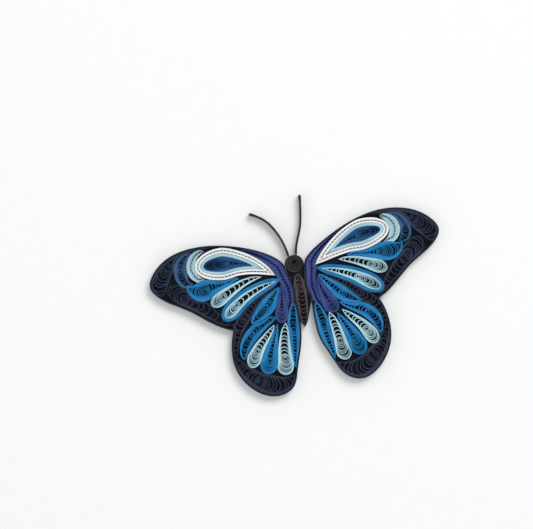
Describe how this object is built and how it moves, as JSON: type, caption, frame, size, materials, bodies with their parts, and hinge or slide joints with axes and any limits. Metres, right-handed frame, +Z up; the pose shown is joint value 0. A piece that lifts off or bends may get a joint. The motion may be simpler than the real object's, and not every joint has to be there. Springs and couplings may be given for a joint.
{
  "type": "quilled paper butterfly",
  "caption": "A flat butterfly of rolled and pinched paper strips standing on edge, in navy, blue, pale aqua and white, with a brown rolled head, leaf abdomen and antennae.",
  "frame": {"origin": "on the plane of the underside, under the middle of the butterfly's outline", "axes": "+X towards the right wing, +Y towards the head and antennae, +Z up from the underside to the cut edges of the strips"},
  "size_m": [0.0916, 0.0604, 0.0033],
  "materials": {
    "dark_card": "matte",
    "navy_paper": "matte",
    "indigo_paper": "matte",
    "white_paper": "matte",
    "sky_paper": "matte",
    "deep_blue_paper": "matte",
    "royal_paper": "matte",
    "mid_blue_paper": "matte",
    "pale_paper": "matte",
    "charcoal_paper": "matte",
    "dark_brown_paper": "matte"
  },
  "bodies": {
    "root": {"head": "charcoal_paper", "abdomen": "charcoal_paper", "left_wing_base": "dark_card", "left_wing_rim": "navy_paper", "left_tip_coil": "navy_paper", "left_edge_coil": "navy_paper", "left_tail_coil": "navy_paper", "left_margin_coil": "navy_paper", "left_shoulder_band": "indigo_paper", "left_shoulder_drop": "indigo_paper", "left_white_wrap": "white_paper", "left_sky_wrap": "sky_paper", "left_sky_crescent": "sky_paper", "left_deep_blue_drop": "deep_blue_paper", "left_royal_crescent": "royal_paper", "left_blue_wedge": "mid_blue_paper", "left_blue_wrap": "mid_blue_paper", "left_upper_leaf": "mid_blue_paper", "left_curved_leaf": "mid_blue_paper", "left_hind_blue_drop": "mid_blue_paper", "left_inner_leaf": "mid_blue_paper", "left_small_pale_drop": "pale_paper", "left_wrapped_pale_drop": "pale_paper", "left_outer_pale_drop": "pale_paper", "left_inner_pale_drop": "pale_paper", "left_antenna": "dark_brown_paper", "right_wing_base": "dark_card", "right_wing_rim": "navy_paper", "right_tip_coil": "navy_paper", "right_edge_coil": "navy_paper", "right_tail_coil": "navy_paper", "right_margin_coil": "navy_paper", "right_shoulder_band": "indigo_paper", "right_shoulder_drop": "indigo_paper", "right_white_wrap": "white_paper", "right_sky_wrap": "sky_paper", "right_sky_crescent": "sky_paper", "right_deep_blue_drop": "deep_blue_paper", "right_royal_crescent": "royal_paper", "right_blue_wedge": "mid_blue_paper", "right_blue_wrap": "mid_blue_paper", "right_upper_leaf": "mid_blue_paper", "right_curved_leaf": "mid_blue_paper", "right_hind_blue_drop": "mid_blue_paper", "right_inner_leaf": "mid_blue_paper", "right_small_pale_drop": "pale_paper", "right_wrapped_pale_drop": "pale_paper", "right_outer_pale_drop": "pale_paper", "right_inner_pale_drop": "pale_paper", "right_antenna": "dark_brown_paper"}
  },
  "joints": []
}
